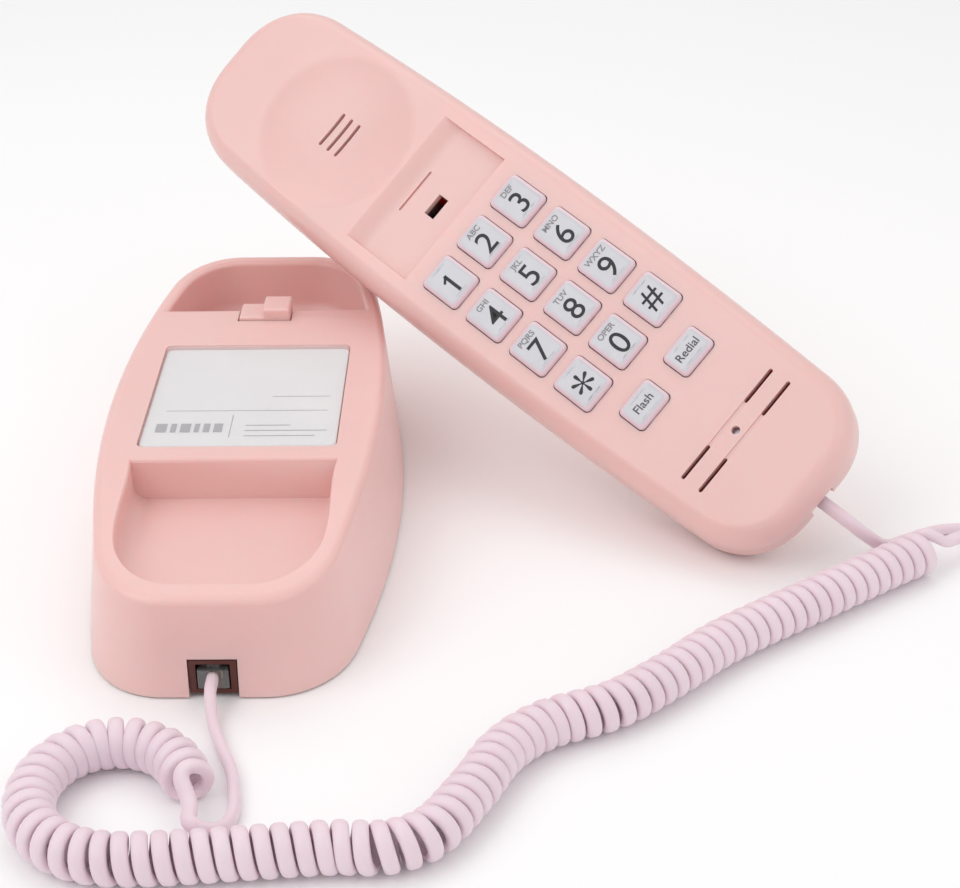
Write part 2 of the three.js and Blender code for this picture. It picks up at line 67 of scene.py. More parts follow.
CAMERA_AT = (72.5, -488.8, 284.07)
CAMERA_AZIMUTH, CAMERA_DOWN, CAMERA_ROLL = math.radians(-1.04), math.radians(28.35), math.radians(-0.84)
looking = Vector((
    math.sin(CAMERA_AZIMUTH) * math.cos(CAMERA_DOWN),
    math.cos(CAMERA_AZIMUTH) * math.cos(CAMERA_DOWN),
    -math.sin(CAMERA_DOWN),
))
level_right = looking.cross(Vector((0, 0, 1))).normalized()
level_up = level_right.cross(looking)
camera_right = math.cos(CAMERA_ROLL) * level_right + math.sin(CAMERA_ROLL) * level_up
camera_up = math.cos(CAMERA_ROLL) * level_up - math.sin(CAMERA_ROLL) * level_right
camera = bpy.data.objects.new("camera", bpy.data.cameras.new("camera"))
camera.data.lens = 75
camera.data.sensor_width = 36
camera.data.clip_start = 0.01
turn = Matrix((camera_right, camera_up, -looking)).transposed().to_4x4()
camera.matrix_world = Matrix.Translation(base_place @ Vector(CAMERA_AT)) @ turn
bpy.context.scene.collection.objects.link(camera)
bpy.context.scene.camera = camera

# ---- Coiled cord ----
# A four-wire handset cord in soft PVC, wound hot on a mandrel so that it springs back into a coil.
# One tube runs from plug to plug: a straight lead at each end, and the coil between them.
LEAD_WIDTH, COIL_WIDTH, COIL_PITCH = 3.4, 12.0, 4.25
# Half widths of the slightly flat cord, along the coil and out from it.
WIRE_ACROSS, WIRE_THROUGH = 1.86, 1.46
LEAD_HEIGHT, COIL_HEIGHT = LEAD_WIDTH / 2 + 0.1, COIL_WIDTH / 2 + 0.1
COIL_RADIUS = COIL_WIDTH / 2 - WIRE_THROUGH
# At each end of the coil: the run out to its radius, where its turns start, and the radius they bend in with.
EASE_RUN, WIND_START, WIND_BEND = 9, 5, 4
JACK_X, JACK_Z, BASE_FRONT = 0, 6, -92
HANDSET_AT, HANDSET_YAW, HANDSET_PITCH, HANDSET_ROLL = (65.2, 38.7, 64.6), 49.3, 19.1, -44.2
MOUTH_END, HANDSET_JACK_IN, HANDSET_JACK_Z = -121, 7, -12.6
handset_place = (
    base_place @ Matrix.Translation(HANDSET_AT)
    @ Matrix.Rotation(math.radians(HANDSET_YAW), 4, "Z")
    @ Matrix.Rotation(math.radians(HANDSET_PITCH), 4, "X")
    @ Matrix.Rotation(math.radians(HANDSET_ROLL), 4, "Y")
)
handset_in_base = base_place.inverted() @ handset_place
base_lead_route = [
    (JACK_X, BASE_FRONT + 0.3, JACK_Z), (JACK_X, -97, JACK_Z - 0.4), (1.3, -104, LEAD_HEIGHT + 0.8),
    (4.6, -113.9, LEAD_HEIGHT), (7.7, -121.8, LEAD_HEIGHT), (9.4, -129.7, LEAD_HEIGHT),
    (10.1, -137.7, LEAD_HEIGHT), (8.6, -144.2, LEAD_HEIGHT + 1), (4.7, -146.9, LEAD_HEIGHT + 2.8),
    (1.9, -146, COIL_HEIGHT),
]
coil_route = [(x, y, COIL_HEIGHT) for x, y in [
    (1.3, -141), (-0.8, -130.6), (-7.2, -121.3), (-15.9, -117.6), (-24.9, -118.9), (-31.8, -125.4),
    (-34.7, -135.5), (-32.5, -146.2), (-25.6, -154), (-16.5, -157.7), (-5.5, -158.1), (15.5, -156.2),
    (34.4, -154.5), (45.4, -154.5), (53.9, -150.2), (63.3, -134.9), (70.3, -120.6), (79.3, -111.5),
    (96.1, -103.3), (110.3, -91.2), (123.8, -77.7), (153.7, -55.1), (174.9, -39.5), (189.2, -29.8),
]]
handset_lead_route = [
    (197.6, -25.1, COIL_HEIGHT), (202.3, -22.6, 4.4), (199.3, -17.5, LEAD_HEIGHT + 0.6),
    (189.7, -16.8, LEAD_HEIGHT), (179.9, -21.3, LEAD_HEIGHT), (172.1, -28.6, 4.2), (166.4, -32.4, 9.5),
    tuple(handset_in_base @ Vector((0, MOUTH_END - 7, HANDSET_JACK_Z))),
    tuple(handset_in_base @ Vector((0, MOUTH_END + HANDSET_JACK_IN - 0.6, HANDSET_JACK_Z))),
]


def smooth_route(points, step):
    """A centripetal curve through the points, at even steps, with the length along it at each point."""
    points = np.array(points, float)
    points = np.vstack([2 * points[0] - points[1], points, 2 * points[-1] - points[-2]])
    line, knots = [], []
    for p0, p1, p2, p3 in zip(points, points[1:], points[2:], points[3:]):
        t1 = np.linalg.norm(p1 - p0) ** 0.5
        t2 = t1 + np.linalg.norm(p2 - p1) ** 0.5
        t3 = t2 + np.linalg.norm(p3 - p2) ** 0.5
        t = np.linspace(t1, t2, 60, endpoint=False)[:, None]
        a1 = (t1 - t) / t1 * p0 + t / t1 * p1
        a2 = (t2 - t) / (t2 - t1) * p1 + (t - t1) / (t2 - t1) * p2
        a3 = (t3 - t) / (t3 - t2) * p2 + (t - t2) / (t3 - t2) * p3
        b1 = (t2 - t) / t2 * a1 + t / t2 * a2
        b2 = (t3 - t) / (t3 - t1) * a2 + (t - t1) / (t3 - t1) * a3
        knots.append(len(line))
        line.extend((t2 - t) / (t2 - t1) * b1 + (t - t1) / (t2 - t1) * b2)
    line = np.array(line + [points[-2]])
    along = np.concatenate([[0], np.cumsum(np.linalg.norm(np.diff(line, axis=0), axis=1))])
    places = np.arange(0, along[-1], step)
    even = np.stack([np.interp(places, along, line[:, i]) for i in range(3)], axis=1)
    return even, places, [along[k] for k in knots]


route, travelled, knots = smooth_route(base_lead_route + coil_route + handset_lead_route, 0.2)
coil_start = knots[len(base_lead_route)]
coil_end = knots[len(base_lead_route) + len(coil_route) - 1]
tangent = np.gradient(route, axis=0)
tangent /= np.linalg.norm(tangent, axis=1)[:, None]
side = np.zeros_like(route)
side[0] = (1, 0, 0)
for i in range(1, len(route)):
    carried = side[i - 1] - tangent[i] * (side[i - 1] @ tangent[i])
    side[i] = carried / np.linalg.norm(carried)
lift = np.cross(tangent, side)
ease = np.clip(np.minimum(travelled - coil_start, coil_end - travelled) / EASE_RUN, 0, 1)
ease = ease * ease * (3 - 2 * ease)


def wound(along):
    """The angle wound after a distance along the coil: it first bends from straight into the coil's turns."""
    slope = 2 * np.pi * COIL_RADIUS / COIL_PITCH
    switch = WIND_BEND * slope / math.sqrt(1 + slope ** 2)
    bent = np.clip(along, 0, switch)
    arc = WIND_BEND - np.sqrt(WIND_BEND ** 2 - bent ** 2)
    return (arc + slope * np.maximum(along - switch, 0)) / COIL_RADIUS


wind_middle = (coil_end - coil_start) / 2 - WIND_START
from_middle = travelled - (coil_start + coil_end) / 2
half_wound = wound(wind_middle)
angle = half_wound + np.sign(from_middle) * (half_wound - wound(wind_middle - np.abs(from_middle)))
outward = np.cos(angle)[:, None] * side + np.sin(angle)[:, None] * lift
centreline = route + COIL_RADIUS * ease[:, None] * outward
in_coil = (travelled > coil_start - 1) & (travelled < coil_end + 1)
kept = in_coil | (np.arange(len(route)) % 5 == 0)
kept[-1] = True
centreline, outward = centreline[kept], outward[kept]
heading = np.gradient(centreline, axis=0)
heading /= np.linalg.norm(heading, axis=1)[:, None]
outward -= heading * np.sum(outward * heading, axis=1)[:, None]
outward /= np.linalg.norm(outward, axis=1)[:, None]
across = np.cross(heading, outward)
WIRE_SIDES = 14
spin = 2 * np.pi * np.arange(WIRE_SIDES) / WIRE_SIDES
wire_out = WIRE_THROUGH * np.sign(np.cos(spin)) * np.abs(np.cos(spin)) ** 0.8
wire_across = WIRE_ACROSS * np.sign(np.sin(spin)) * np.abs(np.sin(spin)) ** 0.8
cord_rings = (
    centreline[:, None]
    + wire_out[None, :, None] * outward[:, None]
    + wire_across[None, :, None] * across[:, None]
)


def linear(hex_colour):
    """An sRGB hex colour as linear red, green, blue and 1."""
    values = [int(hex_colour[i:i + 2], 16) / 255 for i in (1, 3, 5)]
    return [v / 12.92 if v <= 0.04045 else ((v + 0.055) / 1.055) ** 2.4 for v in values] + [1]


def add_node(tree, kind, inputs=(), **settings):
    """Adds a node; inputs maps a socket's name or number to a value or to the socket it is linked from."""
    made = tree.nodes.new(kind)
    for key, value in settings.items():
        setattr(made, key, value)
    for key, value in dict(inputs).items():
        if isinstance(value, bpy.types.NodeSocket):
            tree.links.new(value, made.inputs[key])
        else:
            made.inputs[key].default_value = value
    return made


def new_material(name):
    """An empty node material: its tree and its object coordinates, which are in metres."""
    material = bpy.data.materials.new(name)
    material.use_nodes = True
    material.node_tree.nodes.clear()
    return material, material.node_tree, add_node(material.node_tree, "ShaderNodeTexCoord").outputs["Object"]


def per_mm(size):
    """The texture scale whose features are that many millimetres across."""
    return 1000 / size


def noise(tree, where, size, detail):
    """A noise pattern with features of a size in millimetres."""
    return add_node(tree, "ShaderNodeTexNoise", {
        "Vector": where, "Scale": per_mm(size), "Detail": detail,
    }).outputs["Fac"]


def two_tone(tree, share, one, other):
    """A colour that goes from one hex colour to another by a share."""
    return add_node(tree, "ShaderNodeMix", {
        "Factor": share, "A": linear(one), "B": linear(other),
    }, data_type="RGBA").outputs["Result"]


def from_to(tree, share, low, high):
    """A value that goes from low to high as a share goes from 0 to 1."""
    return add_node(tree, "ShaderNodeMapRange", {
        "Value": share, "To Min": low, "To Max": high,
    }).outputs["Result"]


def fine_bump(tree, height, strength, depth=0.0002):
    """A fine bump of a depth in metres."""
    return add_node(tree, "ShaderNodeBump", {
        "Height": height, "Strength": strength, "Distance": depth,
    }).outputs["Normal"]


def surface(tree, colour, roughness, **others):
    """Ends a material in the principled shader; others are its sockets, named with _ for a space."""
    inputs = {"Base Color": colour, "Roughness": roughness}
    inputs |= {name.replace("_", " "): value for name, value in others.items()}
    shader = add_node(tree, "ShaderNodeBsdfPrincipled", inputs)
    add_node(tree, "ShaderNodeOutputMaterial", {"Surface": shader.outputs["BSDF"]})


def new_piece(name, verts, faces, place):
    """A smooth-shaded mesh object whose vertices are given in millimetres and placed in the row frame."""
    mesh = bpy.data.meshes.new(name)
    mesh.from_pydata([tuple(v) for v in verts], [], faces)
    mesh.transform(place)
    mesh.update()
    mesh.polygons.foreach_set("use_smooth", [True] * len(mesh.polygons))
    piece = bpy.data.objects.new(name, mesh)
    bpy.context.scene.collection.objects.link(piece)
    return piece


def tube_faces(rings, sides):
    """The quads of a tube of rings, with both its ends closed."""
    faces = []
    for i in range(rings - 1):
        for j in range(sides):
            k = (j + 1) % sides
            faces.append((i * sides + j, i * sides + k, (i + 1) * sides + k, (i + 1) * sides + j))
    last = (rings - 1) * sides
    return faces + [tuple(reversed(range(sides))), tuple(range(last, last + sides))]


# Soft PVC jacket, extruded and coiled: satin, a little see-through at its edges, with faint drawn lines.
pvc_jacket, tree, where = new_material("soft_pvc_jacket")
patches = noise(tree, where, 22, 3.0)
colour = two_tone(tree, patches, "#f2e0e8", "#e8d2dc")
shine = from_to(tree, patches, 0.36, 0.5)
drawn = noise(tree, where, 0.8, 2.0)
bump = fine_bump(tree, drawn, 0.12)
surface(
    tree, colour, shine, Normal=bump, IOR=1.52, Subsurface_Weight=0.25,
    Subsurface_Radius=(1.0, 0.45, 0.4), Subsurface_Scale=0.0015,
)

coiled_cord = new_piece(
    "coiled_cord", cord_rings.reshape(-1, 3), tube_faces(len(centreline), WIRE_SIDES), base_place
)
coiled_cord.data.materials.append(pvc_jacket)
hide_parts("base_lead", "cord_coil", "handset_lead")
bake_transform(coiled_cord)

# ---- Modular plugs ----
# Clear polycarbonate plugs, injection moulded, with four gilt blades pressed into the nose of each.
clear_polycarbonate, tree, where = new_material("clear_polycarbonate")
cloud = noise(tree, where, 3, 2.0)
colour = two_tone(tree, cloud, "#e8e4e2", "#cfd3d6")
shine = from_to(tree, cloud, 0.08, 0.18)
surface(tree, colour, shine, IOR=1.58, Transmission_Weight=0.85)

gilt_blade, tree, where = new_material("gold_plated_bronze")
drawn = noise(tree, where, 1.5, 3.0)
shine = from_to(tree, drawn, 0.2, 0.4)
colour = two_tone(tree, drawn, "#e6bf6a", "#c99c4b")
surface(tree, colour, shine, Metallic=1.0)

BLOCK_FACES = [(0, 3, 2, 1), (4, 5, 6, 7), (0, 1, 5, 4), (1, 2, 6, 5), (2, 3, 7, 6), (3, 0, 4, 7)]


def block_corners(x0, x1, y0, y1, z0, z1):
    """The eight corners of an upright block."""
    return [(x, y, z) for z in (z0, z1) for x, y in ((x0, y0), (x1, y0), (x1, y1), (x0, y1))]


def several_blocks(blocks):
    """The corners and faces of several blocks in one mesh."""
    verts, faces = [], []
    for block in blocks:
        faces += [tuple(len(verts) + i for i in face) for face in BLOCK_FACES]
        verts += block_corners(*block)
    return verts, faces


def recolour(node, material):
    """Gives a CAD node a material in place of its plain one."""
    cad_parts[node].data.materials.clear()
    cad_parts[node].data.materials.append(material)


def rounded_edges(piece, width, segments=3):
    """Rounds a piece's sharp edges by a width in metres, and shades its flats flat."""
    bevel = piece.modifiers.new("rounded", "BEVEL")
    bevel.width = width
    bevel.segments = segments
    bevel.limit_method = "ANGLE"
    bevel.angle_limit = math.radians(35)
    piece.modifiers.new("flats", "WEIGHTED_NORMAL").keep_sharp = True


PLUG_LENGTH, BLADE_THICK, BLADE_PITCH = 11, 0.32, 1.02
plug_places = {
    "base_plug": base_place @ Matrix.Translation((JACK_X, BASE_FRONT + 0.6, 0)),
    "handset_plug": handset_place @ Matrix.Translation(
        (0, MOUTH_END + HANDSET_JACK_IN - 0.3, HANDSET_JACK_Z - JACK_Z)
    ),
}
plug_pieces = []
for node, place in plug_places.items():
    recolour(node, clear_polycarbonate)
    rounded_edges(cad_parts[node], 0.00035)
    blades = [(
        (i - 1.5) * BLADE_PITCH - BLADE_THICK / 2, (i - 1.5) * BLADE_PITCH + BLADE_THICK / 2,
        PLUG_LENGTH - 4, PLUG_LENGTH - 0.4, 2.72, 5,
    ) for i in range(4)]
    gilt = new_piece(node + "_blades", *several_blocks(blades), place)
    gilt.data.polygons.foreach_set("use_smooth", [False] * len(gilt.data.polygons))
    gilt.data.materials.append(gilt_blade)
    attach(gilt, "base" if node == "base_plug" else "handset")
    plug_pieces += [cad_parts[node], gilt]

# ---- Base shell ----
# The base's upper half, one injection moulding in pale pink ABS: a barrel-shaped tub with a raised platform
# between the two hollows that take the handset's ends. The front hollow narrows beside the platform.
BASE_REAR, MID_HALF, FRONT_HALF, REAR_HALF, BASE_CORNER = 92.5, 41.5, 34, 34.5, 22
FRONT_HIGH, REAR_HIGH, SIDE_DRAFT, END_DRAFT = 32.5, 39.5, 0.1, 0.025
SHELL_BOTTOM, SHELL_WALL, TOP_EDGE, HOLLOW_FLOOR, CEILING, FLOOR_FILLET = 0.8, 2.6, 2.5, 22.6, 19.6, 4
FRONT_RIM, REAR_RIM, PLATFORM_FRONT, PLATFORM_REAR, LIP = 8, 8, -33.5, 52, 1.1
SCOOP_START, SCOOP_DROP = -20, 5.5
NARROW_START, NARROW_END, NARROWING = -72, -36, 0.15
CARD_WIDE, CARD_LONG, CARD_SUNK, CARD_Y, CARD_CORNER = 52, 56, 2, 1, 2
top_slope = (REAR_HIGH - FRONT_HIGH) / (BASE_REAR - BASE_FRONT)


def outline(segments, count_scale=1):
    """A closed outline, symmetric about x = 0: its right half is a chain of straight and curved segments."""
    half = []
    for count, *points in segments:
        count = max(1, round(count * count_scale))
        points = np.array(points, float)
        for t in np.arange(count) / count:
            working = points
            while len(working) > 1:
                working = working[:-1] * (1 - t) + working[1:] * t
            half.append(working[0])
    half.append(np.array(segments[-1][-1], float))
    half = np.array(half)
    mirrored = half[-2:0:-1] * (-1, 1)
    return np.vstack([half, mirrored])


def base_outline(inset):
    """The base's plan, moved in by an inset."""
    front, rear, near, far = BASE_FRONT + inset, BASE_REAR - inset, FRONT_HALF - inset, REAR_HALF - inset
    bow = 2 * (MID_HALF - inset) - (near + far) / 2
    corner = BASE_CORNER - inset * 0.6
    bend = 0.45 * corner
    return outline([
        (5, (0, front), (near - corner, front)),
        (18, (near - corner, front), (near - bend, front), (near - 2, front + bend), (near, front + corner)),
        (36, (near, front + corner), (bow, 0), (far, rear - corner)),
        (18, (far, rear - corner), (far - 2, rear - bend), (far - bend, rear), (far - corner, rear)),
        (5, (far - corner, rear), (0, rear)),
    ])


def top_at(y):
    """The height of the base's top: a slope that scoops down towards the front."""
    scooped = np.maximum(0, (SCOOP_START - y) / (SCOOP_START - BASE_FRONT))
    return FRONT_HIGH + top_slope * (y - BASE_FRONT) - SCOOP_DROP * scooped ** 2


def drafted(ring, height):
    """An outline at a height, leaned in as the mould's draft needs and lowered to the sloping top."""
    share = height / REAR_HIGH
    return np.column_stack([
        ring[:, 0] * (1 - SIDE_DRAFT * share), ring[:, 1] * (1 - END_DRAFT * share),
        share * top_at(ring[:, 1]),
    ])


def stacked(rings):
    """A closed solid of rings, each symmetric about x = 0, with both its ends closed by bars across."""
    count, around = len(rings), len(rings[0])
    faces = tube_faces(count, around)[:-2]
    half = around // 2
    for base_index, flip in ((0, True), ((count - 1) * around, False)):
        for i in range(half):
            bar = [base_index + k % around for k in (i, i + 1, around - i - 1, around - i)]
            bar = list(dict.fromkeys(bar))
            faces.append(tuple(reversed(bar)) if flip else tuple(bar))
    return np.vstack(rings), faces


def solid(verts, faces, place=Matrix.Identity(4)):
    """A working solid in millimetres, its faces turned outward."""
    made = new_piece("working", verts, faces, place)
    work = bmesh.new()
    work.from_mesh(made.data)
    bmesh.ops.remove_doubles(work, verts=work.verts, dist=1e-5)
    bmesh.ops.recalc_face_normals(work, faces=work.faces)
    work.to_mesh(made.data)
    work.free()
    return made


def combine(body, tools, operation="DIFFERENCE"):
    """Cuts the tools from a body, or joins or crosses them, and clears the tools away."""
    for tool in tools:
        step = body.modifiers.new("cut", "BOOLEAN")
        step.object = tool
        step.operation = operation
        step.solver = "MANIFOLD"
    settle(body)
    for tool in tools:
        bpy.data.objects.remove(tool)
    return body


def settle(body):
    """Applies a working solid's modifiers."""
    bpy.context.view_layer.update()
    shape = bpy.data.meshes.new_from_object(body.evaluated_get(bpy.context.evaluated_depsgraph_get()))
    body.modifiers.clear()
    body.data = shape


def upright(ring, z):
    """A flat outline at one height."""
    return np.column_stack([ring, np.full(len(ring), float(z))])


def hollow_plan(inset):
    """A hollow's plan: the base's plan moved in, and narrowed beside the front of the platform."""
    plan = base_outline(inset)
    share = np.clip((plan[:, 1] - NARROW_START) / (NARROW_END - NARROW_START), 0, 1)
    share = np.where(plan[:, 1] > 10, 0, share * share * (3 - 2 * share))
    return plan * np.column_stack([1 - NARROWING * share, np.ones(len(plan))])


def hollow_tool(inset, cut_side, cut_y):
    """The space of a hollow of the base: filleted at its floor, flared at its lip, ended at the platform."""
    rings = []
    for t in np.linspace(0, math.pi / 2, 7):
        rings.append(upright(hollow_plan(inset + FLOOR_FILLET * (1 - math.sin(t))),
                             HOLLOW_FLOOR + FLOOR_FILLET * (1 - math.cos(t))))
    wall = hollow_plan(inset)
    rings.append(np.column_stack([wall, top_at(wall[:, 1]) - LIP - 0.4]))
    for t in np.linspace(0, math.pi / 2, 6):
        flared = hollow_plan(inset - LIP * (1 - math.cos(t)))
        rings.append(np.column_stack([flared, top_at(wall[:, 1]) - LIP + LIP * math.sin(t)]))
    wide = hollow_plan(inset - LIP)
    rings.append(np.column_stack([wide, top_at(wall[:, 1]) + 6]))
    space = solid(*stacked(rings))
    step_top = top_at(cut_y)
    profile = [(cut_y + cut_side * 200, HOLLOW_FLOOR - 2), (cut_y, HOLLOW_FLOOR - 2), (cut_y, step_top - LIP)]
    for t in np.linspace(0, math.pi / 2, 7)[1:]:
        profile.append((cut_y - cut_side * LIP * (1 - math.cos(t)), step_top - LIP + LIP * math.sin(t)))
    profile += [(cut_y - cut_side * LIP, 70), (cut_y + cut_side * 200, 70)]
    count = len(profile)
    verts = [(x, y, z) for x in (-90, 90) for y, z in profile]
    faces = [tuple(range(count)), tuple(reversed(range(count, 2 * count)))]
    faces += [(i, (i + 1) % count, count + (i + 1) % count, count + i) for i in range(count)]
    return combine(space, [solid(verts, faces)], "INTERSECT")


def rounded_rectangle(wide, long, corner, fine=6):
    """The outline of a rectangle with round corners."""
    x, y, k = wide / 2, long / 2, 0.448 * corner
    return outline([
        (2, (0, -y), (x - corner, -y)),
        (fine, (x - corner, -y), (x - k, -y), (x, -y + k), (x, -y + corner)),
        (2, (x, -y + corner), (x, y - corner)),
        (fine, (x, y - corner), (x, y - k), (x - k, y), (x - corner, y)),
        (2, (x - corner, y), (0, y)),
    ])


def on_top(y):
    """The place of a piece that lies on the sloping top, centred at y."""
    return Matrix.Translation((0, y, top_at(y))) @ Matrix.Rotation(math.atan(top_slope), 4, "X")


def turned(profile, sides=48):
    """A solid turned about the line x = y = 0 from a profile of radius and height pairs."""
    spin = 2 * np.pi * np.arange(sides) / sides
    rings = [upright(r * np.column_stack([np.cos(spin), np.sin(spin)]), z) for r, z in profile]
    return np.vstack(rings), tube_faces(len(rings), sides)


shell_rings = [drafted(base_outline(0), z) for z in (SHELL_BOTTOM, 8, 22)]
for t in np.linspace(0, math.pi / 2, 8):
    inset, below_top = TOP_EDGE * (1 - math.cos(t)), TOP_EDGE * (1 - math.sin(t))
    shell_rings.append(drafted(base_outline(inset), REAR_HIGH - below_top))
shell = solid(*stacked(shell_rings))
inside = solid(*stacked([drafted(base_outline(SHELL_WALL), z) for z in (-5, 10, CEILING * 1.1)]))
inside = combine(inside, [solid(*several_blocks([(-99, 99, -199, 199, -9, CEILING)]))], "INTERSECT")
card_well = solid(*stacked([
    upright(rounded_rectangle(CARD_WIDE + 1, CARD_LONG + 1, CARD_CORNER), -CARD_SUNK),
    upright(rounded_rectangle(CARD_WIDE + 1, CARD_LONG + 1, CARD_CORNER), 5),
]), on_top(CARD_Y))
HOOK_HALF, HOOK_FRONT, HOOK_REAR, HOOK_Y, RUNNING_GAP = 7.5, 45, 55, 50, 0.4
slot_half = HOOK_HALF + RUNNING_GAP
hook_slot = solid(*several_blocks([
    (-slot_half, slot_half, HOOK_FRONT - RUNNING_GAP, HOOK_REAR, HOLLOW_FLOOR, 60),
]))
hook_bore = solid(*turned([(2.6, 15), (2.6, 24)], 24), Matrix.Translation((0, HOOK_Y, 0)))
jack_openings = [
    solid(*several_blocks([(JACK_X - 6.1, JACK_X + 6.1, -99, -77.8, -5, 11)])),
    solid(*several_blocks([(-6.1, 6.1, 78.3, 99, -5, 11)])),
]
shell = combine(shell, [
    inside, hollow_tool(FRONT_RIM, -1, PLATFORM_FRONT), hollow_tool(REAR_RIM, 1, PLATFORM_REAR),
    card_well, hook_slot, hook_bore, *jack_openings,
])

# Injection-moulded ABS: solid colour with a satin, faintly grained skin, a little glow where it is thin,
# and slow drifts in shade and shine where the melt cooled. The 0.4 mm spark grain is drawn at 0.9 mm to show.
moulded_abs, tree, where = new_material("moulded_abs_pink")
flow = noise(tree, where, 45, 3.0)
colour = two_tone(tree, flow, "#f1c8c4", "#ebbfba")
handled = noise(tree, where, 9, 4.0)
shine = from_to(tree, handled, 0.3, 0.42)
grain = noise(tree, where, 0.9, 2.0)
bump = fine_bump(tree, grain, 0.06)
surface(
    tree, colour, shine, Normal=bump, IOR=1.54, Subsurface_Weight=0.35,
    Subsurface_Radius=(1.0, 0.3, 0.25), Subsurface_Scale=0.004, Coat_Weight=0.1, Coat_Roughness=0.2,
)


def moulded(body, name, place, material, body_name, nodes=(), edge=0.3, sharp=30):
    """Rounds a working solid's cut edges, places it, and hands it over as a finished piece."""
    if edge:
        bevel = body.modifiers.new("rounded", "BEVEL")
        bevel.width = edge
        bevel.segments = 2
        bevel.limit_method = "ANGLE"
        bevel.angle_limit = math.radians(sharp)
        settle(body)
    body.data.polygons.foreach_set("use_smooth", [True] * len(body.data.polygons))
    body.data.set_sharp_from_angle(angle=math.radians(sharp + 8))
    body.modifiers.new("flats", "WEIGHTED_NORMAL").keep_sharp = True
    body.data.transform(place)
    body.data.update()
    body.name = name
    body.data.name = name
    body.data.materials.clear()
    body.data.materials.append(material)
    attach(body, body_name)
    if nodes:
        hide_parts(*nodes)
    return body


moulded(shell, "base_upper_shell", base_place, moulded_abs, "base", ["base_shell"], 0.3)

# ---- Number card and window ----
# A printed card lies in the platform's shallow well under a clear polystyrene sheet, which snaps in over it.
# The print is generic: two writing lines, a bar, a divider and three short rules.
card_paper, tree, where = new_material("printed_card")
fibre = noise(tree, where, 1.2, 5.0)
tone = noise(tree, where, 30, 2.0)
mixed = add_node(tree, "ShaderNodeMath", {0: fibre, 1: tone}, operation="MULTIPLY")
colour = two_tone(tree, mixed.outputs["Value"], "#efedee", "#dcdadb")
bump = fine_bump(tree, fibre, 0.1, 0.0001)
surface(tree, colour, 0.7, Normal=bump)


def printing_ink(name, one, other, shine_low, shine_high):
    """A printed ink: slightly uneven in tone and shine, as it lies on plastic or card."""
    ink, tree, where = new_material(name)
    wear = noise(tree, where, 0.7, 3.0)
    colour = two_tone(tree, wear, one, other)
    shine = from_to(tree, wear, shine_low, shine_high)
    surface(tree, colour, shine)
    return ink


black_ink = printing_ink("printed_ink_dark", "#131317", "#26262b", 0.4, 0.6)
grey_ink = printing_ink("printed_ink_grey", "#7f7c80", "#98959a", 0.45, 0.65)
word_ink = printing_ink("printed_ink_mid_grey", "#4a484d", "#5c5a60", 0.45, 0.65)

window_sheet, tree, where = new_material("clear_polystyrene_sheet")
haze = noise(tree, where, 12, 3.0)
shine = from_to(tree, haze, 0.05, 0.12)
colour = two_tone(tree, haze, "#fbfbfc", "#eef0f2")
surface(tree, colour, shine, IOR=1.59, Alpha=0.2)

recolour("number_card", card_paper)
recolour("card_window", window_sheet)
rounded_edges(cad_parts["card_window"], 0.0002, 2)
CARD_TOP = -CARD_SUNK + 0.8
marks = [
    (6.7, 22.5, 0.1, 0.35), (-21.5, 22.5, -7.7, -7.45), (-3, -2.75, -22, -10),
    (1, 13, -15.8, -15.4), (1, 23, -18.6, -18.2), (1, 20, -21.4, -21),
    (-23, -20, -19.2, -14.6), (-19, -17.4, -19.2, -14.6), (-16.4, -13.6, -19.2, -14.6),
    (-12.6, -11.2, -19.2, -14.6), (-10.2, -8.4, -19.2, -14.6), (-7.4, -5, -19.2, -14.6),
]
card_print = new_piece(
    "number_card_print",
    *several_blocks([(x0, x1, y0, y1, CARD_TOP + 0.02, CARD_TOP + 0.06) for x0, x1, y0, y1 in marks]),
    base_place @ on_top(CARD_Y),
)
card_print.data.polygons.foreach_set("use_smooth", [False] * len(card_print.data.polygons))
card_print.data.materials.append(grey_ink)
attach(card_print, "base")

# ---- Hook switch ----
# The plunger that the handset presses down when it is hung up: a stepped pink ABS block on a shaft, which a
# spring pushes up from below.
HOOK_BOTTOM, HOOK_LOW, HOOK_HIGH = 27, 38.8, 41.2


def soft_block(x0, x1, y0, y1, z0, z1, corner, edge):
    """A block with round corners in plan and a rounded top edge."""
    rings = []
    middle = np.array([(x0 + x1) / 2, (y0 + y1) / 2])
    for inset, z in [(0, z0), (0, z1 - edge)] + [
        (edge * (1 - math.cos(t)), z1 - edge + edge * math.sin(t)) for t in np.linspace(0, math.pi / 2, 6)[1:]
    ]:
        plan = rounded_rectangle(x1 - x0 - 2 * inset, y1 - y0 - 2 * inset, max(corner - inset, 0.05))
        rings.append(upright(plan, z) + (*middle, 0))
    verts, faces = stacked(rings)
    return solid(verts, faces)


plunger = soft_block(-HOOK_HALF, 1, HOOK_FRONT, HOOK_REAR, HOOK_BOTTOM, HOOK_LOW, 0.8, 0.8)
plunger = combine(plunger, [
    soft_block(-0.5, HOOK_HALF, HOOK_FRONT, HOOK_REAR, HOOK_BOTTOM, HOOK_HIGH, 0.8, 0.8),
    solid(*turned([(2.2, 14), (2.2, 29)], 32), Matrix.Translation((0, HOOK_Y, 0))),
    solid(*turned([(5, 18), (5, 19.3)], 32), Matrix.Translation((0, HOOK_Y, 0))),
], "UNION")
moulded(plunger, "hook_plunger_block", base_place, moulded_abs, "hook", ["hook_plunger"], 0.2)

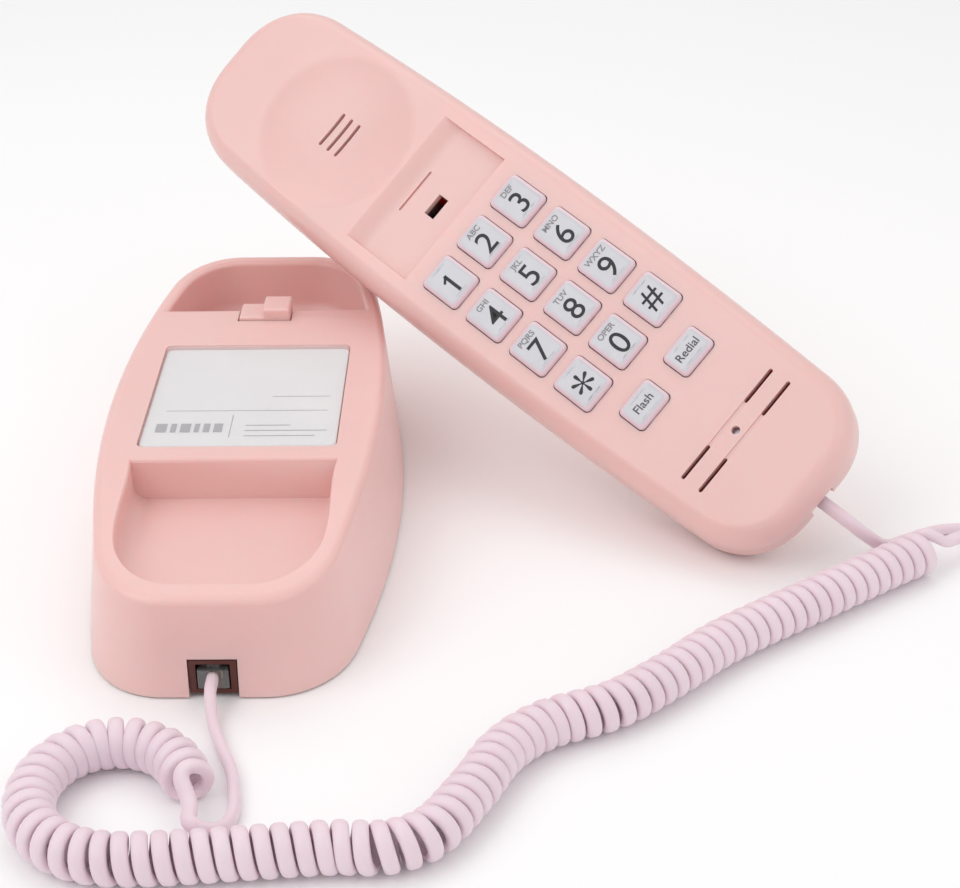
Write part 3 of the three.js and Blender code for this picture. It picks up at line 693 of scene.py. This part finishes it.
# ---- Jacks ----
# Both modular jacks are dark brown moulded housings set behind square openings in the pink wall.
brown_nylon, tree, where = new_material("moulded_nylon_brown")
flow = noise(tree, where, 4, 3.0)
colour = two_tone(tree, flow, "#4a1c14", "#5e2a1e")
shine = from_to(tree, flow, 0.4, 0.55)
bump = fine_bump(tree, flow, 0.1)
surface(tree, colour, shine, Normal=bump)
for node in ("base_handset_jack", "wall_line_jack", "handset_jack", "ringer", "hook_switch_body", "receiver"):
    recolour(node, brown_nylon)
    rounded_edges(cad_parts[node], 0.0002, 2)

# ---- Base cover, feet and screws ----
# The flat bottom cover is a matte pink moulding, held by four cross-head screws, and the base stands on
# four rubber feet let into it. The circuit boards are green-masked laminate, and the weights are zinc plated.
matte_cover, tree, where = new_material("moulded_abs_matte")
grain = noise(tree, where, 1.0, 3.0)
flow = noise(tree, where, 30, 2.0)
colour = two_tone(tree, flow, "#e3a99e", "#d99d92")
shine = from_to(tree, grain, 0.5, 0.68)
bump = fine_bump(tree, grain, 0.25)
surface(tree, colour, shine, Normal=bump, IOR=1.54)
recolour("base_cover", matte_cover)
rounded_edges(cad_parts["base_cover"], 0.0003, 2)

moulded_rubber, tree, where = new_material("moulded_rubber")
grain = noise(tree, where, 0.9, 4.0)
colour = two_tone(tree, grain, "#333335", "#454548")
shine = from_to(tree, grain, 0.7, 0.9)
bump = fine_bump(tree, grain, 0.3)
surface(tree, colour, shine, Normal=bump, IOR=1.52)
for node in ("rubber_foot_1", "rubber_foot_2", "rubber_foot_3", "rubber_foot_4", "keypad_membrane"):
    recolour(node, moulded_rubber)
    rounded_edges(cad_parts[node], 0.0003, 2)

zinc_plate, tree, where = new_material("zinc_plated_steel")
crystals = add_node(tree, "ShaderNodeTexVoronoi", {"Vector": where, "Scale": per_mm(1.6)})
colour = two_tone(tree, crystals.outputs["Distance"], "#c9ccd0", "#a9adb2")
shine = from_to(tree, crystals.outputs["Distance"], 0.25, 0.42)
surface(tree, colour, shine, Metallic=1.0)

laminate, tree, where = new_material("circuit_board_laminate")
weave = noise(tree, where, 1.5, 3.0)
colour = two_tone(tree, weave, "#2c6441", "#3a7850")
shine = from_to(tree, weave, 0.35, 0.5)
surface(tree, colour, shine)
for node in ("base_circuit_board", "handset_circuit_board"):
    recolour(node, laminate)
for node in ("ballast_weight", "handset_weight", "microphone"):
    recolour(node, zinc_plate)

# The hook spring is wound from steel wire: six turns between the switch body and the plunger's collar.
SPRING_LOW, SPRING_HIGH, SPRING_RADIUS, SPRING_WIRE, SPRING_TURNS = 9.95, 17.65, 3.7, 0.35, 6
around = np.linspace(0, 2 * np.pi * SPRING_TURNS, 24 * SPRING_TURNS + 1)
wire_spin = np.linspace(0, 2 * np.pi, 10, endpoint=False)
wire_radius = SPRING_RADIUS + SPRING_WIRE * np.cos(wire_spin)[None]
wire_rise = np.linspace(SPRING_LOW + SPRING_WIRE, SPRING_HIGH - SPRING_WIRE, len(around))[:, None]
spring = new_piece("hook_coil_spring", np.stack([
    wire_radius * np.cos(around)[:, None],
    HOOK_Y + wire_radius * np.sin(around)[:, None],
    wire_rise + SPRING_WIRE * np.sin(wire_spin)[None],
], axis=2).reshape(-1, 3), tube_faces(len(around), len(wire_spin)), base_place)
spring.data.materials.append(zinc_plate)
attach(spring, "base")
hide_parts("hook_spring")
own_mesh(spring)


def cross_head_screw(name, node, place, head_radius, head_bottom, head_top, shaft_radius, tip, body_name):
    """A pan-head screw seen from below, with a cross cut in its head."""
    made = solid(*turned([
        (head_radius - 0.5, head_bottom), (head_radius - 0.15, head_bottom + 0.2),
        (head_radius, head_bottom + 0.6), (head_radius, head_top),
        (shaft_radius, head_top), (shaft_radius, tip - 1), (0.3, tip),
    ], 32))
    reach = head_radius * 0.62
    cross = [
        (-reach, reach, -0.32, 0.32, head_bottom - 1, head_bottom + 0.8),
        (-0.32, 0.32, -reach, reach, head_bottom - 1, head_bottom + 0.8),
    ]
    combine(made, [solid(*several_blocks([bar])) for bar in cross])
    moulded(made, name, place, zinc_plate, body_name, [node], 0.06)


for i, (x, y) in enumerate([(-28, -50), (28, -50), (-28, 50), (28, 50)], 1):
    cross_head_screw(
        f"base_screw_head_{i}", f"base_screw_{i}", base_place @ Matrix.Translation((x, y, 0)),
        2.8, 1.7, 2.9, 1.3, 13, "base",
    )

# ---- Handset shells ----
# Two ABS mouldings meet at a line round the handset's side. The front one holds the ear dish, the recess
# with the hanger slot, the keypad and the mouth slots. The back one is a deep tray that thins to both ends.
EAR_END, EAR_HALF, MOUTH_HALF, SIDE_BOW, EAR_CORNER, MOUTH_CORNER = 110, 28, 27.5, 33, 24, 21
DEPTH, WALL, EDGE_IN, EDGE_DOWN, BACK_IN, BACK_UP, PARTING, END_THINNING = 30, 2.2, 5, 8, 8, 12, -9, 0.62
EAR_CENTRE, DISH_RADIUS, DISH_DEPTH = 62.5, 24.5, 4.5
RECESS_LOW, RECESS_HIGH, RECESS_HALF, RECESS_DEPTH, RAMP_START = 12, 38.5, 22.5, 2.2, 29.6
HANDSET_SCREWS = (31, -84)


def handset_outline(inset):
    """The handset's plan, moved in by an inset."""
    ear_y, ear_x, ear_r = EAR_END - inset, EAR_HALF - inset, max(EAR_CORNER - inset, 1)
    mouth_y, mouth_x, mouth_r = MOUTH_END + inset, MOUTH_HALF - inset, max(MOUTH_CORNER - inset, 1)
    k = 0.4
    return outline([
        (4, (0, mouth_y), (mouth_x - mouth_r, mouth_y)),
        (20, (mouth_x - mouth_r, mouth_y), (mouth_x - k * mouth_r, mouth_y), (mouth_x, mouth_y + k * mouth_r),
         (mouth_x, mouth_y + mouth_r)),
        (44, (mouth_x, mouth_y + mouth_r), (SIDE_BOW - inset, 0), (ear_x, ear_y - ear_r)),
        (20, (ear_x, ear_y - ear_r), (ear_x, ear_y - k * ear_r), (ear_x - k * ear_r, ear_y),
         (ear_x - ear_r, ear_y)),
        (4, (ear_x - ear_r, ear_y), (0, ear_y)),
    ])


def thinned(ring, z):
    """An outline on the handset's back at a depth, raised towards both ends."""
    reach = (ring[:, 1] - (EAR_END + MOUTH_END) / 2) / ((EAR_END - MOUTH_END) / 2)
    share = 1 - END_THINNING * reach ** 4 if z < PARTING else np.ones(len(ring))
    return np.column_stack([ring, PARTING + (z - PARTING) * share])


def face_rings(inset, edge_in, edge_down, top):
    """The front moulding's rings from under the parting line up round its edge to its flat face."""
    rings = [upright(handset_outline(inset), PARTING)]
    for t in np.linspace(0, math.pi / 2, 11):
        rings.append(upright(handset_outline(inset + edge_in * (1 - math.cos(t))),
                             top - edge_down + edge_down * math.sin(t)))
    return rings


def slot_tool(x, y, long, wide, z0, z1):
    """The space of a slot with round ends."""
    plan = rounded_rectangle(long, wide, wide / 2 - 0.01)
    return solid(*stacked([upright(plan, z0) + (x, y, 0), upright(plan, z1) + (x, y, 0)]))


front = solid(*stacked(face_rings(0, EDGE_IN, EDGE_DOWN, 0)))
inner_rings = face_rings(WALL, EDGE_IN - 1, EDGE_DOWN - 1.5, -WALL)
inner_rings[0][:, 2] = PARTING - 3
front_inside = solid(*stacked(inner_rings))
keep = [
    solid(*turned([(DISH_RADIUS + 1, -DISH_DEPTH - WALL), (DISH_RADIUS + 1, 2)], 64),
          Matrix.Translation((0, EAR_CENTRE, 0))),
    solid(*several_blocks([(-99, 99, RECESS_LOW - 2, RECESS_HIGH + 3, -RECESS_DEPTH - WALL, 2)])),
]
for y in HANDSET_SCREWS:
    keep.append(solid(*turned([(3.6, PARTING - 4), (3.6, 2)], 32), Matrix.Translation((0, y, 0))))
front_inside = combine(front_inside, keep)

ball = (DISH_RADIUS ** 2 + DISH_DEPTH ** 2) / (2 * DISH_DEPTH)
dish_profile = []
for r in np.linspace(0.02, DISH_RADIUS - 1.6, 22):
    dish_profile.append((r, ball - DISH_DEPTH - math.sqrt(ball ** 2 - r ** 2)))
edge_r, edge_z = dish_profile[-1]
for t in np.linspace(0, 1, 6)[1:]:
    dish_profile.append((edge_r + 3.4 * t, edge_z * (1 - t) ** 2 + 0.02 * t))
dish_profile.append((edge_r + 3.4, 6))
cuts = [front_inside, solid(*turned(dish_profile, 112), Matrix.Translation((0, EAR_CENTRE, 0)))]
recess_profile = [(RECESS_LOW, 6), (RECESS_LOW, -RECESS_DEPTH + 0.6)]
for t in np.linspace(0, math.pi / 2, 5)[1:]:
    recess_profile.append((RECESS_LOW + 0.6 * (1 - math.cos(t)), -RECESS_DEPTH + 0.6 * (1 - math.sin(t))))
for t in np.linspace(0, 1, 16):
    ramp_rise = (RECESS_DEPTH + 0.3) * t * t * (3 - 2 * t)
    recess_profile.append((RAMP_START + (RECESS_HIGH - RAMP_START) * t, ramp_rise - RECESS_DEPTH))
recess_profile.append((RECESS_HIGH, 6))
count = len(recess_profile)
recess_faces = [tuple(reversed(range(count))), tuple(range(count, 2 * count))]
recess_faces += [(i, count + i, count + (i + 1) % count, (i + 1) % count) for i in range(count)]
cuts.append(solid([(x, y, z) for x in (-RECESS_HALF, RECESS_HALF) for y, z in recess_profile], recess_faces))
cuts.append(solid(*several_blocks([(-3.5, 3.5, 18.8, 22.4, -20, 6)])))
cuts.append(slot_tool(0, 29.3, 14.5, 0.8, -RECESS_DEPTH - 0.8, 6))
for y in (59.2, 62.5, 65.8):
    cuts.append(slot_tool(0, y, 12, 1.1, -20, 6))
for x in (-13.2, 13.2):
    for y in (-90.2, -96.2):
        cuts.append(slot_tool(x, y, 11.5, 1.2, -5, 6))
for y in (-90.2, -96.2):
    cuts.append(slot_tool(0, y, 16, 1.1, -0.35, 6))
cuts.append(solid(*turned([(1.2, -5), (1.2, 6)], 24), Matrix.Translation((0, -93.2, 0))))
for y in HANDSET_SCREWS:
    cuts.append(solid(*turned([(1.6, -20), (1.6, PARTING + 4)], 24), Matrix.Translation((0, y, 0))))

KEY_PITCH_X, KEY_PITCH_Y, KEY_WIDE, KEY_LONG, KEY_RISE, FUNCTION_ROW = 15, 17, 11.4, 13.3, 1.6, -68.8
FUNCTION_WIDE, FUNCTION_LONG, FUNCTION_X, KEY_GAP = 12.4, 8.9, 9.4, 0.25
key_rows = [["1", "2", "3"], ["4", "5", "6"], ["7", "8", "9"], ["star", "0", "hash"]]
keys = {
    label: ((j - 1) * KEY_PITCH_X, -i * KEY_PITCH_Y, KEY_WIDE, KEY_LONG)
    for i, row in enumerate(key_rows) for j, label in enumerate(row)
}
keys["flash"] = (-FUNCTION_X, FUNCTION_ROW, FUNCTION_WIDE, FUNCTION_LONG)
keys["redial"] = (FUNCTION_X, FUNCTION_ROW, FUNCTION_WIDE, FUNCTION_LONG)
for x, y, wide, long in keys.values():
    plan = rounded_rectangle(wide + 2 * KEY_GAP, long + 2 * KEY_GAP, 1.6)
    cuts.append(solid(*stacked([upright(plan, -5) + (x, y, 0), upright(plan, 6) + (x, y, 0)])))
front = combine(front, cuts)
moulded(
    front, "handset_front_shell", handset_place, moulded_abs, "handset", ["handset_front"], 0.28
)

back_rings, back_inner = [], []
for rings, inset, back_in, back_up, bottom in (
    (back_rings, 0, BACK_IN, BACK_UP, -DEPTH), (back_inner, WALL, BACK_IN - 1, BACK_UP - 1, -DEPTH + WALL),
):
    for t in np.linspace(0, math.pi / 2, 13):
        plan = handset_outline(inset + back_in * (1 - math.sin(t)))
        rings.append(thinned(plan, bottom + back_up * (1 - math.cos(t))))
    rings.append(thinned(handset_outline(inset), PARTING - 0.3 if inset == 0 else PARTING + 2))
back = solid(*stacked(back_rings))
back_hollow = combine(solid(*stacked(back_inner)), [
    solid(*turned([(4.2, -40), (4.2, PARTING - 0.3)], 32), Matrix.Translation((0, y, 0)))
    for y in HANDSET_SCREWS
])
screw_ways = [
    solid(*turned([(radius, -40), (radius, top)], sides), Matrix.Translation((0, y, 0)))
    for radius, top, sides in ((3.1, -16, 32), (1.7, 0, 24)) for y in HANDSET_SCREWS
]
plug_way = solid(*several_blocks([(
    -4.2, 4.2, MOUTH_END - 5, MOUTH_END + HANDSET_JACK_IN, HANDSET_JACK_Z - 3.6, HANDSET_JACK_Z + 3.6,
)]))
back = combine(back, [back_hollow, *screw_ways, plug_way])
moulded(
    back, "handset_back_shell", handset_place, moulded_abs, "handset", ["handset_back"], 0.28
)
for i, y in enumerate(HANDSET_SCREWS, 1):
    cross_head_screw(
        f"handset_screw_head_{i}", f"handset_screw_{i}", handset_place @ Matrix.Translation((0, y, 0)),
        2.7, -20.5, -16.4, 1.3, -5.8, "handset",
    )

# ---- Keys ----
# Each key is a pale grey printed tile under a clear cap. The lighter pink band round each cap's rim is
# painted see-through light: the pink glow of light through the clear rim is painted into the cap's colour.
# The cap is moulded in ABS with a polished top, and its legend is printed in dark ink, the letters in grey.
key_cap, tree, where = new_material("moulded_key_cap")
rim = add_node(tree, "ShaderNodeAttribute", attribute_name="rim_distance")
speckle = noise(tree, where, 5, 3.0)
tile = two_tone(tree, speckle, "#d3d3d8", "#c4c5cc")
# Painted see-through light: within about a millimetre of its lower edge, by its rim distance, each cap is
# painted a lighter pink in place of the grey tile.
step = add_node(tree, "ShaderNodeMapRange", {"Value": rim.outputs["Fac"], "From Min": 0.75, "From Max": 1.05})
colour = add_node(tree, "ShaderNodeMix", {
    "Factor": step.outputs["Result"], "A": linear("#e6cdd6"), "B": tile,
}, data_type="RGBA").outputs["Result"]
shine = from_to(tree, speckle, 0.2, 0.32)
grain = noise(tree, where, 0.9, 2.0)
bump = fine_bump(tree, grain, 0.04)
surface(tree, colour, shine, Normal=bump, IOR=1.5, Coat_Weight=0.3, Coat_Roughness=0.08)

legends = {
    "1": ("1", ""), "2": ("2", "ABC"), "3": ("3", "DEF"), "4": ("4", "GHI"), "5": ("5", "JKL"),
    "6": ("6", "MNO"), "7": ("7", "PQRS"), "8": ("8", "TUV"), "9": ("9", "WXYZ"), "star": ("*", ""),
    "0": ("0", "OPER"), "hash": ("#", ""), "flash": ("Flash", ""), "redial": ("Redial", ""),
}
# Pairs of an inset and a height, from the cap's lower edge in to the middle of its top.
cap_profile = [
    (0, -2.2), (0, 0.55), (0.12, 0.95), (0.4, 1.25), (0.75, 1.42), (1.05, 1.5), (1.4, 1.56), (2.0, KEY_RISE),
]
DIGIT_SIZE, STAR_SIZE, WORD_SIZE, LETTER_SIZE = 9.8, 15, 3.4, 2.5
DIGIT_LOW, STAR_LOW, LETTER_HIGH = -1.5, -3.4, 4.0


def key_place(x, y):
    """A key's own place on the handset."""
    return handset_place @ Matrix.Translation((x, y, 0))


def printed(name, text, size, shift_y, weight, material, place, body_name):
    """A word of raised print, 0.05 mm proud of a key's top."""
    writing = bpy.data.curves.new(name, "FONT")
    writing.body = text
    writing.size = size
    writing.align_x = "CENTER"
    writing.align_y = "CENTER"
    writing.offset = weight
    writing.extrude = 0.025
    writing.resolution_u = 6
    drawn = bpy.data.objects.new(name, writing)
    bpy.context.scene.collection.objects.link(drawn)
    bpy.context.view_layer.update()
    mesh = bpy.data.meshes.new_from_object(drawn.evaluated_get(bpy.context.evaluated_depsgraph_get()))
    bpy.data.objects.remove(drawn)
    mesh.name = name
    mesh.transform(place @ Matrix.Translation((0, shift_y, KEY_RISE + 0.03)))
    mesh.materials.clear()
    mesh.materials.append(material)
    piece = bpy.data.objects.new(name, mesh)
    bpy.context.scene.collection.objects.link(piece)
    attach(piece, body_name)


for label, (x, y, wide, long) in keys.items():
    rings = [
        upright(rounded_rectangle(wide - 2 * inset, long - 2 * inset, max(1.5 - 0.5 * inset, 0.4)), z)
        for inset, z in cap_profile
    ]
    verts, faces = stacked(rings)
    rim_distance = np.repeat([inset for inset, z in cap_profile], len(rings[0]))
    cap = new_piece(f"key_cap_{label}", verts, faces, key_place(x, y))
    distance = cap.data.attributes.new("rim_distance", "FLOAT", "POINT")
    distance.data.foreach_set("value", rim_distance.astype(np.float32))
    cap.data.materials.append(key_cap)
    skirt = new_piece(f"key_skirt_{label}", *several_blocks([
        (-wide / 2 - 0.9, wide / 2 + 0.9, -long / 2 - 0.9, long / 2 + 0.9, -3.5, -2.6),
        (-wide / 2 + 1, wide / 2 - 1, -long / 2 + 1, long / 2 - 1, -2.7, -2.1),
        (-1.8, 1.8, -1.8, 1.8, -4.7, -3.4),
    ]), key_place(x, y))
    skirt.data.polygons.foreach_set("use_smooth", [False] * len(skirt.data.polygons))
    skirt.data.materials.append(key_cap)
    body_name = f"key_{label}"
    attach(cap, body_name)
    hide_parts(body_name)
    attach(skirt, body_name)
    main, letters = legends[label]
    place = key_place(x, y)
    if len(main) > 1:
        printed(f"legend_{label}", main, WORD_SIZE, 0, 0.03, word_ink, place, body_name)
    else:
        size = STAR_SIZE if label == "star" else DIGIT_SIZE
        low = {"star": STAR_LOW, "hash": 0}.get(label, DIGIT_LOW)
        printed(f"legend_{label}", main, size, low, 0.02, black_ink, place, body_name)
    if label == "1":  # the typeface's figure 1 is a bare stroke, so its flag is a piece of its own
        flag_place = place @ Matrix.Translation((-0.8, 1.15, KEY_RISE + 0.03)) @ Matrix.Rotation(0.7, 4, "Z")
        stroke = several_blocks([(-1.2, 1.2, -0.38, 0.38, -0.025, 0.025)])
        flag = new_piece("legend_1_flag", *stroke, flag_place)
        flag.data.polygons.foreach_set("use_smooth", [False] * len(flag.data.polygons))
        flag.data.materials.append(black_ink)
        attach(flag, body_name)
    if letters:
        printed(f"letters_{label}", letters, LETTER_SIZE, LETTER_HIGH, 0.04, grey_ink, place, body_name)

# ---- Floor and light ----
# A plain pale table and a large soft light on each side and above, as in a small studio tent.
pale_table, tree, where = new_material("pale_painted_board")
patches = noise(tree, where, 500, 2.0)
colour = two_tone(tree, patches, "#ffffff", "#fdfdfe")
surface(tree, colour, 0.7)
TABLE_HALF = 3000
table = new_piece("table", [
    (x * TABLE_HALF, y * TABLE_HALF, 0) for x, y in ((-1, -1), (1, -1), (1, 1), (-1, 1))
], [(0, 1, 2, 3)], base_place)
table.data.materials.append(pale_table)

tent = bpy.data.worlds.new("tent")
tent.use_nodes = True
tent.node_tree.nodes["Background"].inputs["Color"].default_value = (1.0, 0.99, 0.985, 1)
tent.node_tree.nodes["Background"].inputs["Strength"].default_value = 0.7
bpy.context.scene.world = tent
bpy.context.scene.view_settings.view_transform = "Standard"


def soft_light(name, at, towards, size, power):
    """A square soft light that faces a point; places are in millimetres of the base's frame."""
    lamp = bpy.data.lights.new(name, "AREA")
    lamp.shape = "SQUARE"
    lamp.size = size
    lamp.energy = power
    holder = bpy.data.objects.new(name, lamp)
    holder.location = base_place @ Vector(at)
    holder.rotation_mode = "QUATERNION"
    holder.rotation_quaternion = (Vector(towards) - Vector(at)).to_track_quat("-Z", "Y")
    bpy.context.scene.collection.objects.link(holder)


soft_light("key_light", (-500, -350, 800), (40, -20, 20), 0.7, 2.4)
soft_light("fill_light", (700, -300, 500), (40, -20, 20), 0.8, 0.8)
soft_light("top_light", (0, 400, 900), (40, 0, 20), 0.8, 1.6)
